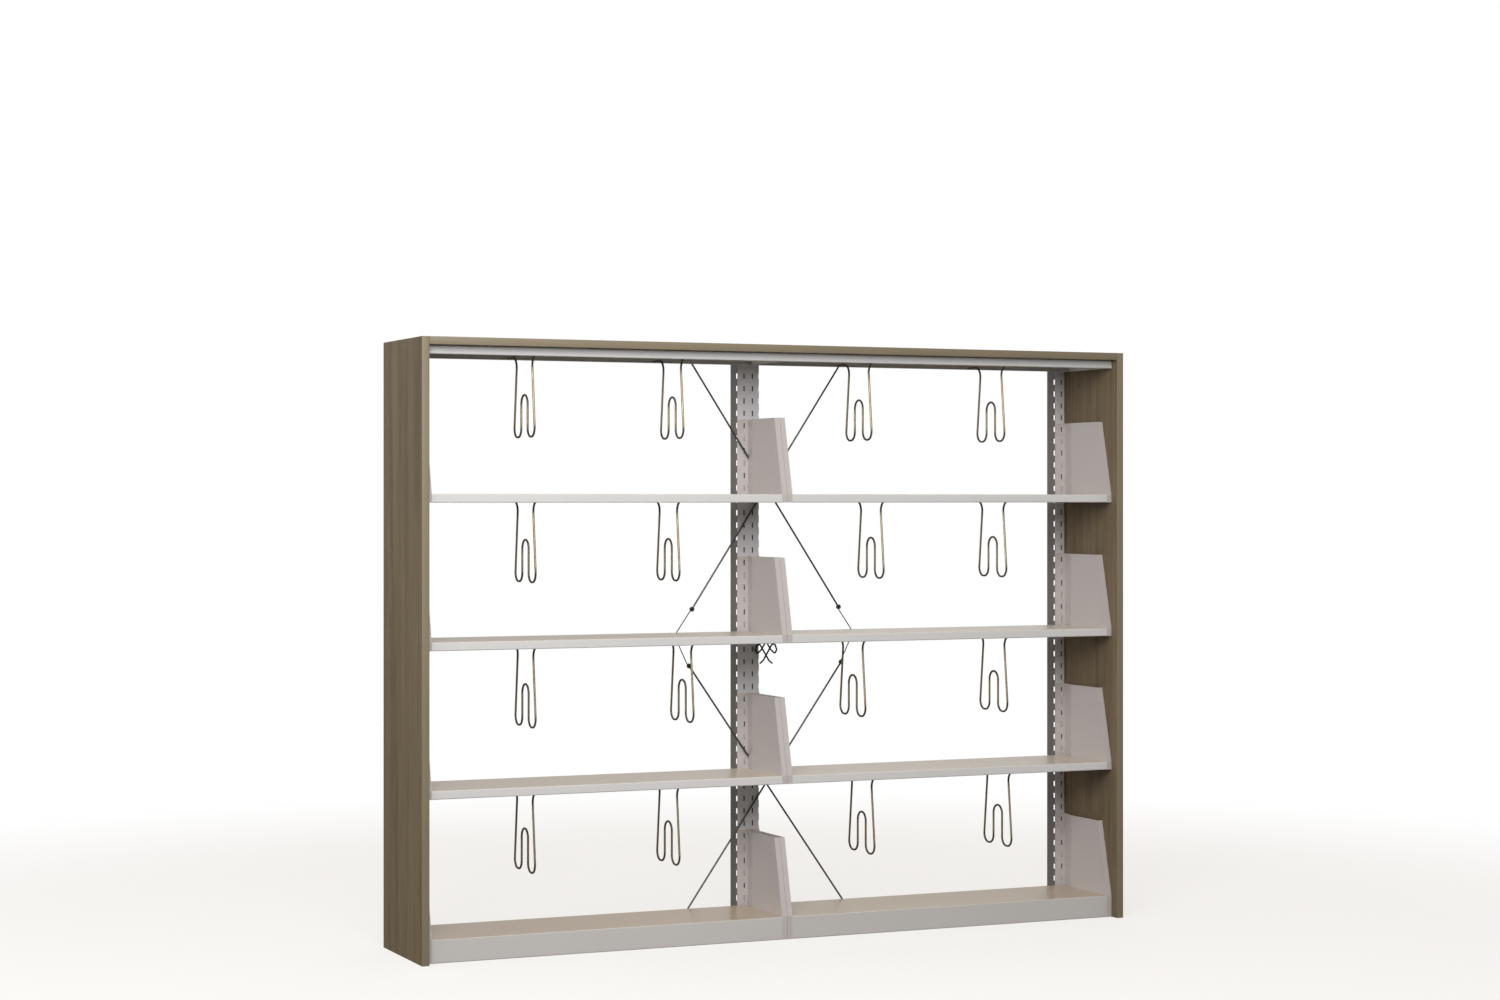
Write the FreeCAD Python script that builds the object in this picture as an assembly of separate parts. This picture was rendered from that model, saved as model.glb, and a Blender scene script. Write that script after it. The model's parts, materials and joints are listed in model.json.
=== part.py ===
import FreeCAD, Part
import math
import os

V = FreeCAD.Vector

# Library shelving: two bays side by side between laminated end panels.
# Frame: +X to the right, +Y to the back, +Z up, origin at the bottom centre.

# ---------------------------------------------------------------- driving sizes, millimetres
OVERALL_HEIGHT = 1420.0
OVERALL_DEPTH = 300.0
BAY_WIDTH = 900.0
BAYS = ("left", "right")

PANEL_THICKNESS = 18.0
TOP_THICKNESS = 18.0
BOARD_EDGE_ROUND = 1.0
DOWEL_DIAMETER = 8.0
DOWEL_DEPTH_IN_PANEL = 12.0
DOWEL_DEPTH_IN_TOP = 20.0
DOWEL_SETBACKS = (60.0, 150.0, 240.0)

# Uprights: slotted steel channels at the back, open to the rear.
UPRIGHT_HALF_WIDTH = 30.0
UPRIGHT_SETBACK = 256.0
UPRIGHT_DEPTH = 44.0
UPRIGHT_WALL = 2.0
UPRIGHT_BEND_RADIUS = 3.0
UPRIGHT_BACK_RETURN = 5.0
UPRIGHT_END_PLATE = 3.0
SLOT_PITCH = 30.6
SLOT_HEIGHT = 13.0
SLOT_WIDTH = 3.4
SLOT_OFFSET = 11.3
SIDE_SLOT_DEPTH = 11.0
SIDE_SLOT_WIDTH = 2.2
SLOT_END_MARGIN = 10.0
STIFFENER_SETBACK = 10.0
STIFFENER_REACH = 20.0

# Shelves: folded steel trays, hung every so many slots.
SHELF_SHEET = 1.2
SHELF_BEND_RADIUS = 1.8
SHELF_SETBACK = 26.0
SHELF_DEPTH = 218.5
SHELF_LIP = 20.0
SHELF_RETURN = 12.0
BASE_TOP = 54.6
SHELF_SLOTS = 11
SHELVES = ("base_shelf", "shelf_3", "shelf_2", "shelf_1")
SLOT_ABOVE_SHELF = 16.0

# Side brackets: folded plates that carry the shelf ends and stop the books.
BRACKET_SHEET = 1.5
BRACKET_INSET = 12.0
BRACKET_RISE = 184.0
BRACKET_SLANT = 45.0
BRACKET_JOG = 54.0
BRACKET_SIDE_GAP = 0.3
HOOK_SLOTS = (0, 2, 4)
HOOK_HEIGHT = 10.0
HOOK_ROOT = 2.0
HOOK_REACH = 4.0
HOOK_DROP = 3.0
HOOK_CLEARANCE = 0.2
TEARDROP_SLOT = 5
TEARDROP_DIAMETER = 7.0
TEARDROP_ABOVE = 10.0
TEARDROP_BELOW = 14.5

# Wire book supports that hang in the folded lips and slide along them.
SUPPORT_WIRE = 5.0
SUPPORT_CLEARANCE = 0.3
SUPPORT_END_GAP = 1.5
SUPPORT_DROP = 207.0
SUPPORT_INNER_RISE = 103.0
SUPPORT_FRONT_BOTTOM = 50.0
SUPPORT_FRONT_TOP = 71.0
SUPPORT_REAR_TOP = 174.0
SUPPORT_REAR_BOTTOM = 195.0
SUPPORT_INNER_WIDTH = 44.0
SUPPORT_TOP_RADIUS = 25.0
SUPPORT_BOTTOM_RADIUS = 21.0
SUPPORT_INNER_RADIUS = 21.5

# Distance of each support from the left end of its bay, per carrying tray.
SUPPORT_PLACES = {
    "canopy": {"left": (269.5, 642.0), "right": (238.0, 607.0)},
    "shelf_1": {"left": (272.0, 632.0), "right": (271.0, 612.5)},
    "shelf_2": {"left": (272.0, 668.0), "right": (221.5, 615.5)},
    "shelf_3": {"left": (270.5, 632.0), "right": (246.0, 627.0)},
}

# Cross braces: round rods with flattened eyes behind the shelves.
BRACE_OFFSET = 45.0
BRACE_TOP_SPAN = 207.0
UPPER_FOOT_SPAN = 197.5
LOWER_FOOT_SPAN = 213.0
BRACE_ROD = 4.4
BRACE_GAP = 0.3
BRACE_SHELF_GAP = 0.4
EYE_DIAMETER = 12.0
EYE_THICKNESS = 3.4
SCREW_DIAMETER = 4.0
SCREW_HEAD_DIAMETER = 7.5
SCREW_HEAD = 2.4
SCREW_FIT = 0.4
SCREW_BELOW_TOP = 8.0
NUT_WIDTH = 7.0
NUT_HEIGHT = 3.2
SPACER_DIAMETER = 6.5
BRACE_END_ABOVE_SHELF = 56.0
BRACE_END_BELOW_LIP = 62.0
LINK_WIRE = 2.4
LINK_EYE_THICKNESS = 3.0
LINK_HALF_SPAN = 242.0
BRACE_HOLE_MARGIN = 0.8

# Black crossed wire clip under the middle shelf, points as (sideways, down from the shelf top).
CLIP_WIRE = 4.0
CLIP_PLANE = 2.15
CLIP_BLOCK_WIDTH = 14.0
CLIP_BLOCK_HEIGHT = 10.0
CLIP_BEND_RADIUS = 3.0
CLIP_STRAND = ((-3.0, 10.0), (-3.0, 33.0), (-12.0, 47.0), (-23.0, 57.0), (-28.0, 47.0))
CLIP_EAR = ((-25.0, 34.0), (-17.0, 34.0), (7.0, 74.0), (16.0, 81.0))

# Fastenings and feet.
BOLT_DIAMETER = 5.0
BOLT_HEAD_DIAMETER = 9.0
BOLT_HEAD = 3.0
BOLT_NUT = 4.0
BOLT_SETBACKS = (75.0, 185.0)
BOLT_BELOW_TOP = 10.0
WOOD_SCREW_DIAMETER = 4.5
WOOD_SCREW_HEAD_DIAMETER = 9.0
WOOD_SCREW_HEAD = 2.5
WOOD_SCREW_DEPTH = 13.0
PANEL_SCREW_COUNT = 4
PANEL_SCREW_END_GAP = 110.0
CANOPY_SCREW_SETBACKS = (70.0, 205.0)
CANOPY_SCREW_INSET = 120.0
FOOT_DIAMETER = 26.0
FOOT_HEIGHT = 6.0
FOOT_STUD = 8.0
FOOT_STUD_LENGTH = 24.0
FOOT_NUT = 5.0
FOOT_NUT_WIDTH = 13.0

OVERCUT = 1.0
SAME_POINT = 0.01

# ---------------------------------------------------------------- places that follow from the sizes
HALF_WIDTH = BAY_WIDTH + PANEL_THICKNESS
FRONT = -OVERALL_DEPTH / 2
BACK = OVERALL_DEPTH / 2
BOARD_UNDERSIDE = OVERALL_HEIGHT - TOP_THICKNESS
UPRIGHT_FRONT = FRONT + UPRIGHT_SETBACK
UPRIGHT_BACK = UPRIGHT_FRONT + UPRIGHT_DEPTH
SHELF_FRONT = FRONT + SHELF_SETBACK
SHELF_BACK = SHELF_FRONT + SHELF_DEPTH
BAY_LEFT = {"left": -BAY_WIDTH, "right": 0.0}
TRAY_TOP = {name: BASE_TOP + SHELF_SLOTS * SLOT_PITCH * i for i, name in enumerate(SHELVES)}
TRAY_TOP["canopy"] = BOARD_UNDERSIDE
TRAY_INSET = BRACKET_INSET + BRACKET_SHEET
ROD_A_Y = SHELF_BACK + BRACE_SHELF_GAP + BRACE_ROD / 2
ROD_B_Y = ROD_A_Y + BRACE_ROD + BRACE_GAP
LINK_Y = ROD_B_Y + BRACE_ROD / 2 + BRACE_GAP + LINK_EYE_THICKNESS / 2
LINK_HEIGHT = TRAY_TOP["shelf_2"] - SCREW_BELOW_TOP


# ---------------------------------------------------------------- shape helpers
def box(x0, x1, y0, y1, z0, z1):
    return Part.makeBox(x1 - x0, y1 - y0, z1 - z0, V(x0, y0, z0))


def rod(start, end, diameter):
    return Part.makeCylinder(diameter / 2, (end - start).Length, start, end - start)


def hexagon(start, end, width):
    """Hexagonal nut body between two points, width across its flats."""
    axis = (end - start).normalize()
    side = V(0, 0, 1).cross(axis)
    if side.Length < SAME_POINT:
        side = V(1, 0, 0)
    up = axis.cross(side)
    reach = width / math.sqrt(3)
    turns = [math.radians(60 * i) for i in range(7)]
    corners = [start + side * (reach * math.cos(a)) + up * (reach * math.sin(a)) for a in turns]
    return Part.Face(Part.makePolygon(corners)).extrude(end - start)


def joined(shapes):
    """Overlapping or touching shapes as one solid."""
    return shapes[0].fuse(shapes[1:]).removeSplitter() if len(shapes) > 1 else shapes[0]


def rounded_corner(before, corner, after, radius):
    """Start, middle and end of the arc that rounds one corner of a line."""
    d_in = (corner - before).normalize()
    d_out = (after - corner).normalize()
    half_turn = d_in.getAngle(d_out) / 2
    reach = radius * math.tan(half_turn)
    start = corner - d_in * reach
    end = corner + d_out * reach
    bisector = (d_out - d_in).normalize()
    centre = corner + bisector * (radius / math.cos(half_turn))
    return start, centre - bisector * radius, end


def rounded_line(points, radii):
    """Wire through the points with its inner corners rounded."""
    edges = []
    last = points[0]
    for i, radius in enumerate(radii):
        start, middle, end = rounded_corner(points[i], points[i + 1], points[i + 2], radius)
        if (start - last).Length > SAME_POINT:
            edges.append(Part.LineSegment(last, start).toShape())
        edges.append(Part.Arc(start, middle, end).toShape())
        last = end
    edges.append(Part.LineSegment(last, points[-1]).toShape())
    return Part.Wire(edges)


def bent_wire(points, radii, diameter):
    """Round wire swept along a line with rounded corners."""
    path = rounded_line(points, radii)
    profile = Part.Wire([Part.makeCircle(diameter / 2, points[0], points[1] - points[0])])
    return path.makePipeShell([profile], True, True)


def side_edges(points, bend_radius, shift, normal):
    """Edges beside a centre line, moved sideways by shift, with rounded bends."""
    edges = []
    first = normal.cross((points[1] - points[0]).normalize())
    last = points[0] + first * shift
    for before, corner, after in zip(points, points[1:], points[2:]):
        d_in = (corner - before).normalize()
        d_out = (after - corner).normalize()
        turn = d_in.getAngle(d_out)
        left = 1 if normal.dot(d_in.cross(d_out)) > 0 else -1
        centre = corner - d_in * (bend_radius * math.tan(turn / 2))
        centre = centre + normal.cross(d_in) * (bend_radius * left)
        radius = bend_radius - shift * left
        start = centre - normal.cross(d_in) * (radius * left)
        end = centre - normal.cross(d_out) * (radius * left)
        middle = centre + (corner - centre).normalize() * radius
        edges.append(Part.LineSegment(last, start).toShape())
        edges.append(Part.Arc(start, middle, end).toShape())
        last = end
    final = normal.cross((points[-1] - points[-2]).normalize())
    edges.append(Part.LineSegment(last, points[-1] + final * shift).toShape())
    return edges, points[0] + first * shift, points[-1] + final * shift


def bent_sheet(points, thickness, bend_radius, sweep):
    """Folded sheet: a centre line with rounded bends, thickened and pushed along sweep."""
    normal = V(sweep.x, sweep.y, sweep.z).normalize()
    left, left_start, left_end = side_edges(points, bend_radius, thickness / 2, normal)
    right, right_start, right_end = side_edges(points, bend_radius, -thickness / 2, normal)
    caps = [
        Part.LineSegment(left_end, right_end).toShape(),
        Part.LineSegment(right_start, left_start).toShape(),
    ]
    outline = Part.Wire(Part.__sortEdges__(left + right + caps))
    return Part.Face(outline).extrude(sweep)


def screw(head_start, direction, grip, shank, head_diameter, head, shank_diameter):
    """Screw whose head lies before the gripped stack and whose shank goes through it."""
    under_head = head_start + direction * head
    return joined([
        rod(head_start, under_head, head_diameter),
        rod(under_head, under_head + direction * (grip + shank), shank_diameter),
    ])


# ---------------------------------------------------------------- sizes of the brackets and slots
def slot_heights():
    """Heights of the slot centres up an upright."""
    first = BASE_TOP + SLOT_ABOVE_SHELF
    margin = UPRIGHT_END_PLATE + SLOT_HEIGHT / 2 + SLOT_END_MARGIN
    below = int((first - FOOT_HEIGHT - margin) // SLOT_PITCH)
    lowest = first - below * SLOT_PITCH
    count = int((BOARD_UNDERSIDE - margin - lowest) // SLOT_PITCH) + 1
    return [lowest + SLOT_PITCH * i for i in range(count)]


def slot_column(plane, inward):
    """Both sides of the column of slots beside a bay's end plane."""
    middle = plane + inward * SLOT_OFFSET
    return middle - SLOT_WIDTH / 2, middle + SLOT_WIDTH / 2


def bay_ends(bay):
    """Each end of a bay: its name, its plane and the direction into the bay."""
    start = BAY_LEFT[bay]
    return (("left", start, 1), ("right", start + BAY_WIDTH, -1))


def span(a, b):
    return (a, b) if a < b else (b, a)


# ---------------------------------------------------------------- boards
def dowel_lines():
    """Dowels between the top board and each end panel, as pairs of end points."""
    height = OVERALL_HEIGHT - TOP_THICKNESS / 2
    lines = []
    for side in (-1, 1):
        for setback in DOWEL_SETBACKS:
            outer = V(side * (BAY_WIDTH + DOWEL_DEPTH_IN_PANEL), FRONT + setback, height)
            inner = V(side * (BAY_WIDTH - DOWEL_DEPTH_IN_TOP), FRONT + setback, height)
            lines.append((outer, inner))
    return lines


def dowels():
    return [rod(outer, inner, DOWEL_DIAMETER) for outer, inner in dowel_lines()]


def eased(board):
    return board.makeFillet(BOARD_EDGE_ROUND, board.Edges)


def end_panel(side):
    x0, x1 = span(side * BAY_WIDTH, side * HALF_WIDTH)
    board = eased(box(x0, x1, FRONT, BACK, 0.0, OVERALL_HEIGHT))
    return board.cut(dowels() + panel_screws(side))


def top_board():
    board = box(-BAY_WIDTH, BAY_WIDTH, FRONT, BACK, BOARD_UNDERSIDE, OVERALL_HEIGHT)
    long_edges = [e for e in board.Edges if abs(e.BoundBox.XLength - 2 * BAY_WIDTH) < SAME_POINT]
    board = board.makeFillet(BOARD_EDGE_ROUND, long_edges)
    return board.cut(dowels() + canopy_screws() + upright_top_screws())


# ---------------------------------------------------------------- uprights
def channel(x0, x1):
    """Channel with a closed front, two sides and short returns at the open back."""
    half = UPRIGHT_WALL / 2
    front = UPRIGHT_FRONT + half
    back = UPRIGHT_BACK - half
    bottom = FOOT_HEIGHT
    points = [
        V(x0 + UPRIGHT_BACK_RETURN, back, bottom),
        V(x0 + half, back, bottom),
        V(x0 + half, front, bottom),
        V(x1 - half, front, bottom),
        V(x1 - half, back, bottom),
        V(x1 - UPRIGHT_BACK_RETURN, back, bottom),
    ]
    return bent_sheet(points, UPRIGHT_WALL, UPRIGHT_BEND_RADIUS, V(0, 0, BOARD_UNDERSIDE - bottom))


def slot_cutters(plane, inward):
    """Front slots for the bracket hooks and the notches at the inner corner."""
    cutters = []
    slot_x = slot_column(plane, inward)
    front = UPRIGHT_FRONT - OVERCUT
    edge = plane + inward * UPRIGHT_HALF_WIDTH
    notch_x = span(edge - inward * SIDE_SLOT_WIDTH, edge + inward * OVERCUT)
    for z in slot_heights():
        z0 = z - SLOT_HEIGHT / 2
        z1 = z + SLOT_HEIGHT / 2
        cutters.append(box(*slot_x, front, UPRIGHT_FRONT + UPRIGHT_WALL + OVERCUT, z0, z1))
        cutters.append(box(*notch_x, front, UPRIGHT_FRONT + SIDE_SLOT_DEPTH, z0, z1))
    return cutters


def end_plates(x0, x1):
    """Plates welded inside the channel at its foot and its head."""
    wall = UPRIGHT_WALL
    levels = (FOOT_HEIGHT, BOARD_UNDERSIDE - UPRIGHT_END_PLATE)
    return [
        box(x0 + wall, x1 - wall, UPRIGHT_FRONT + wall, UPRIGHT_BACK - wall, z, z + UPRIGHT_END_PLATE)
        for z in levels
    ]


def upright_spans():
    """Left and right faces of each upright."""
    return {
        "left_upright": (-BAY_WIDTH, -BAY_WIDTH + UPRIGHT_HALF_WIDTH),
        "centre_upright": (-UPRIGHT_HALF_WIDTH, UPRIGHT_HALF_WIDTH),
        "right_upright": (BAY_WIDTH - UPRIGHT_HALF_WIDTH, BAY_WIDTH),
    }


def upright_columns():
    """Bay end planes whose slots each upright has, with the direction into the bay."""
    return {
        "left_upright": ((-BAY_WIDTH, 1),),
        "centre_upright": ((0.0, -1), (0.0, 1)),
        "right_upright": ((BAY_WIDTH, -1),),
    }


def stiffener(name):
    """T-shaped strip welded inside the channel behind its slots."""
    x0, x1 = upright_spans()[name]
    z0 = FOOT_HEIGHT + UPRIGHT_END_PLATE
    z1 = BOARD_UNDERSIDE - UPRIGHT_END_PLATE
    y = UPRIGHT_FRONT + STIFFENER_SETBACK
    middle = (x0 + x1) / 2
    half = UPRIGHT_WALL / 2
    edges = [plane + inward * STIFFENER_REACH for plane, inward in upright_columns()[name]]
    edges += [plane for plane, _ in upright_columns()[name]]
    return [
        box(min(edges), max(edges), y, y + UPRIGHT_WALL, z0, z1),
        box(middle - half, middle + half, UPRIGHT_FRONT + half, y, z0, z1),
    ]


def upright(name):
    x0, x1 = upright_spans()[name]
    body = joined([channel(x0, x1)] + end_plates(x0, x1) + stiffener(name))
    cutters = upright_top_screws() + panel_screws(-1) + panel_screws(1) + feet()
    for plane, inward in upright_columns()[name]:
        cutters += slot_cutters(plane, inward)
    return body.cut(cutters)


def channel_middles():
    middle_y = (UPRIGHT_FRONT + UPRIGHT_BACK) / 2
    return [V((x0 + x1) / 2, middle_y, 0) for x0, x1 in upright_spans().values()]


def feet():
    """Adjustable feet that stand in the plates at the bottom of the uprights."""
    shapes = []
    for middle in channel_middles():
        pad = Part.makeCylinder(FOOT_DIAMETER / 2, FOOT_HEIGHT, middle)
        stud = Part.makeCylinder(FOOT_STUD / 2, FOOT_STUD_LENGTH, middle)
        nut_base = middle + V(0, 0, FOOT_HEIGHT + UPRIGHT_END_PLATE)
        nut = hexagon(nut_base, nut_base + V(0, 0, FOOT_NUT), FOOT_NUT_WIDTH)
        shapes.append(joined([pad, stud, nut]))
    return shapes


# ---------------------------------------------------------------- trays
def tray_section(x0, top, front_drop):
    """Centre line of a folded tray, from the front return round to the back return."""
    half = SHELF_SHEET / 2
    front = SHELF_FRONT + half
    back = SHELF_BACK - half
    front_low = top - front_drop + half
    back_low = top - SHELF_LIP + half
    return [
        V(x0, front + SHELF_RETURN, front_low),
        V(x0, front, front_low),
        V(x0, front, top - half),
        V(x0, back, top - half),
        V(x0, back, back_low),
        V(x0, back - SHELF_RETURN, back_low),
    ]


def tray(x0, x1, top, front_drop):
    """Folded tray with end flanges."""
    sheet = bent_sheet(tray_section(x0, top, front_drop), SHELF_SHEET, SHELF_BEND_RADIUS, V(x1 - x0, 0, 0))
    y0 = SHELF_FRONT + SHELF_SHEET / 2
    y1 = SHELF_BACK - SHELF_SHEET / 2
    z0 = top - SHELF_LIP + SHELF_SHEET / 2
    z1 = top - SHELF_SHEET / 2
    ends = [box(x0, x0 + SHELF_SHEET, y0, y1, z0, z1), box(x1 - SHELF_SHEET, x1, y0, y1, z0, z1)]
    return joined([sheet] + ends)


def shelf(name, bay):
    x0 = BAY_LEFT[bay] + TRAY_INSET
    x1 = BAY_LEFT[bay] + BAY_WIDTH - TRAY_INSET
    top = TRAY_TOP[name]
    front_drop = top if name == "base_shelf" else SHELF_LIP
    body = tray(x0, x1, top, front_drop)
    return body.cut(shelf_bolts(name, bay) + lip_screw_holes(name))


def canopy(bay):
    x0 = BAY_LEFT[bay]
    body = tray(x0, x0 + BAY_WIDTH, TRAY_TOP["canopy"], SHELF_LIP)
    return body.cut(canopy_screws() + lip_screw_holes("canopy"))


# ---------------------------------------------------------------- side brackets
def bracket_line(x, name):
    """Front edge of a bracket, from its foot up the lip and along the slant."""
    top = TRAY_TOP[name]
    foot = 0.0 if name == "base_shelf" else top - SHELF_LIP
    y = SHELF_FRONT + BRACKET_SHEET / 2
    return V(x, y, foot), V(x, y, top), V(x, y + BRACKET_SLANT, top + BRACKET_RISE)


def jog_offset(y):
    """Distance of the plate from the bay's end where it runs out to the upright."""
    wall = BRACKET_SIDE_GAP + BRACKET_SHEET / 2
    face = BRACKET_INSET + BRACKET_SHEET / 2
    share = (UPRIGHT_FRONT - BRACKET_SHEET / 2 - y) / (BRACKET_JOG - BRACKET_SHEET / 2)
    return wall + (face - wall) * share


def bracket_plate(plane, inward, name):
    """Sheet folded straight beside the shelf, out to the bay's end and in along the upright."""
    foot, knee, peak = bracket_line(plane, name)
    back = UPRIGHT_FRONT - BRACKET_SHEET / 2
    jog = UPRIGHT_FRONT - BRACKET_JOG
    points = [
        V(plane + inward * UPRIGHT_HALF_WIDTH, back, foot.z),
        V(plane + inward * jog_offset(back), back, foot.z),
        V(plane + inward * jog_offset(jog), jog, foot.z),
        V(plane + inward * jog_offset(jog), SHELF_FRONT, foot.z),
    ]
    sheet = bent_sheet(points, BRACKET_SHEET, BRACKET_SHEET, V(0, 0, peak.z - foot.z))
    rear_high = V(plane, BACK, peak.z)
    rear_low = V(plane, BACK, foot.z)
    side = Part.Face(Part.makePolygon([foot, knee, peak, rear_high, rear_low, foot]))
    return sheet.common(side.extrude(V(inward * (UPRIGHT_HALF_WIDTH + OVERCUT), 0, 0)))


def bracket_front_flange(plane, inward, name):
    """Strip folded outward along the front edge, as far as the bay's end."""
    x0 = plane + inward * BRACKET_SIDE_GAP
    x1 = plane + inward * (BRACKET_INSET + BRACKET_SHEET)
    foot, knee, peak = bracket_line(x0, name)
    beyond = peak + (peak - knee).normalize() * BRACKET_SHEET
    strip = bent_sheet([foot, knee, beyond], BRACKET_SHEET, BRACKET_SHEET, V(x1 - x0, 0, 0))
    return strip.common(box(*span(x0, x1), FRONT, UPRIGHT_FRONT, foot.z, peak.z))


def bracket_windows(plane, inward, name):
    """Slots in the rear flange in line with those of the upright, and the top keyhole."""
    x0, x1 = slot_column(plane, inward)
    y0 = UPRIGHT_FRONT - 2 * BRACKET_SHEET
    y1 = UPRIGHT_FRONT + OVERCUT
    lowest = TRAY_TOP[name] + SLOT_ABOVE_SHELF
    cutters = []
    for step in range(TEARDROP_SLOT):
        z = lowest + step * SLOT_PITCH
        cutters.append(box(x0, x1, y0, y1, z - SLOT_HEIGHT / 2, z + SLOT_HEIGHT / 2))
    eye = lowest + TEARDROP_SLOT * SLOT_PITCH
    middle = (x0 + x1) / 2
    cutters.append(box(x0, x1, y0, y1, eye - TEARDROP_BELOW, eye + TEARDROP_ABOVE))
    cutters.append(rod(V(middle, y0, eye), V(middle, y1, eye), TEARDROP_DIAMETER))
    return cutters


def bracket_hooks(plane, inward, name):
    """Tabs of the rear flange that go through the front slots and drop behind the wall."""
    x = plane + inward * (SLOT_OFFSET - BRACKET_SHEET / 2)
    root = UPRIGHT_FRONT - BRACKET_SHEET
    wall_back = UPRIGHT_FRONT + UPRIGHT_WALL + HOOK_CLEARANCE
    tip = wall_back + HOOK_REACH
    hooks = []
    for step in HOOK_SLOTS:
        z = TRAY_TOP[name] + SLOT_ABOVE_SHELF + step * SLOT_PITCH
        joint = z + SLOT_HEIGHT / 2 + HOOK_ROOT
        high = z + HOOK_HEIGHT / 2
        low = z - HOOK_HEIGHT / 2
        corners = [
            V(x, root, joint), V(x, UPRIGHT_FRONT, joint), V(x, UPRIGHT_FRONT, high), V(x, tip, high),
            V(x, tip, low - HOOK_DROP), V(x, wall_back, low - HOOK_DROP), V(x, wall_back, low),
            V(x, root, low), V(x, root, joint),
        ]
        hooks.append(Part.Face(Part.makePolygon(corners)).extrude(V(inward * BRACKET_SHEET, 0, 0)))
    return hooks


def brace_holes(plane, inward, name):
    """Openings in a bracket where a brace rod passes through its plate."""
    foot, _, peak = bracket_line(plane, name)
    cutters = []
    for start, end in brace_lines().values():
        x = plane + inward * jog_offset(start.y)
        share = (x - start.x) / (end.x - start.x)
        z = start.z + share * (end.z - start.z)
        if not (0 < share < 1 and foot.z < z < peak.z):
            continue
        slope = abs((end.z - start.z) / (end.x - start.x))
        height = BRACE_ROD * math.hypot(1, slope) + 2 * BRACKET_SHEET * slope + 2 * BRACE_HOLE_MARGIN
        width = BRACE_ROD + BRACE_HOLE_MARGIN
        x0 = x - 2 * BRACKET_SHEET
        x1 = x + 2 * BRACKET_SHEET
        straight = (height - width) / 2
        cutters.append(box(x0, x1, start.y - width / 2, start.y + width / 2, z - straight, z + straight))
        for end_z in (z - straight, z + straight):
            cutters.append(rod(V(x0, start.y, end_z), V(x1, start.y, end_z), width))
    return cutters


def bracket(name, bay, plane, inward):
    body = joined([bracket_plate(plane, inward, name), bracket_front_flange(plane, inward, name)])
    body = body.cut(bracket_windows(plane, inward, name))
    body = joined([body] + bracket_hooks(plane, inward, name))
    return body.cut(brace_holes(plane, inward, name) + shelf_bolts(name, bay))


# ---------------------------------------------------------------- sliding book supports
def book_support(x, top):
    """One bent wire in a cross plane: front run, leg, two loops, rear leg, rear run."""
    lip_inside = SHELF_SHEET + SUPPORT_CLEARANCE
    end_inset = lip_inside + SUPPORT_END_GAP
    run = top - SHELF_LIP + lip_inside + SUPPORT_WIRE / 2
    bottom = top - SUPPORT_DROP + SUPPORT_WIRE / 2
    crest = top - SUPPORT_DROP + SUPPORT_INNER_RISE - SUPPORT_WIRE / 2
    middle = FRONT + (SUPPORT_FRONT_BOTTOM + SUPPORT_REAR_BOTTOM) / 2
    inner_front = middle - SUPPORT_INNER_WIDTH / 2
    inner_rear = middle + SUPPORT_INNER_WIDTH / 2
    points = [
        V(x, SHELF_FRONT + end_inset, run),
        V(x, FRONT + SUPPORT_FRONT_TOP, run),
        V(x, FRONT + SUPPORT_FRONT_BOTTOM, bottom),
        V(x, inner_front, bottom),
        V(x, inner_front, crest),
        V(x, inner_rear, crest),
        V(x, inner_rear, bottom),
        V(x, FRONT + SUPPORT_REAR_BOTTOM, bottom),
        V(x, FRONT + SUPPORT_REAR_TOP, run),
        V(x, SHELF_BACK - end_inset, run),
    ]
    half = [SUPPORT_TOP_RADIUS, SUPPORT_BOTTOM_RADIUS, SUPPORT_BOTTOM_RADIUS, SUPPORT_INNER_RADIUS]
    return bent_wire(points, half + half[::-1], SUPPORT_WIRE)


# ---------------------------------------------------------------- cross braces
def brace_lines():
    """Eye centres of the four rods: upper and lower cross, each with a front and a rear rod."""
    upper_high = TRAY_TOP["canopy"] - SCREW_BELOW_TOP
    upper_low = TRAY_TOP["shelf_2"] + BRACE_END_ABOVE_SHELF
    lower_high = TRAY_TOP["shelf_2"] - SHELF_LIP - BRACE_END_BELOW_LIP
    lower_low = TRAY_TOP["base_shelf"] - SCREW_BELOW_TOP
    crosses = {
        "upper": (upper_high, upper_low, UPPER_FOOT_SPAN),
        "lower": (lower_high, lower_low, LOWER_FOOT_SPAN),
    }
    lines = {}
    for level, (high, low, foot_span) in crosses.items():
        for place, side, y in (("front", -1, ROD_A_Y), ("rear", 1, ROD_B_Y)):
            start = V(BRACE_OFFSET + side * BRACE_TOP_SPAN, y, high)
            end = V(BRACE_OFFSET - side * foot_span, y, low)
            lines["brace_rod_" + level + "_" + place] = (start, end)
    return lines


def eye(centre, thickness, diameter):
    half = V(0, thickness / 2, 0)
    return rod(centre - half, centre + half, diameter)


def brace_rod(name):
    start, end = brace_lines()[name]
    along = (end - start).normalize()
    hole = SCREW_DIAMETER + SCREW_FIT
    inset = along * ((EYE_DIAMETER + hole) / 4)
    body = joined([
        rod(start + inset, end - inset, BRACE_ROD),
        eye(start, EYE_THICKNESS, EYE_DIAMETER),
        eye(end, EYE_THICKNESS, EYE_DIAMETER),
    ])
    return body.cut([eye(start, 2 * BRACE_ROD, hole), eye(end, 2 * BRACE_ROD, hole)])


def link_eyes(side):
    """Brace eyes that one link joins on one side: each centre and its plane."""
    ends = [end for line in brace_lines().values() for end in line if (end.x - BRACE_OFFSET) * side > 0]
    return [end for end in ends if TRAY_TOP["shelf_3"] < end.z < TRAY_TOP["shelf_1"]]


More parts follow.
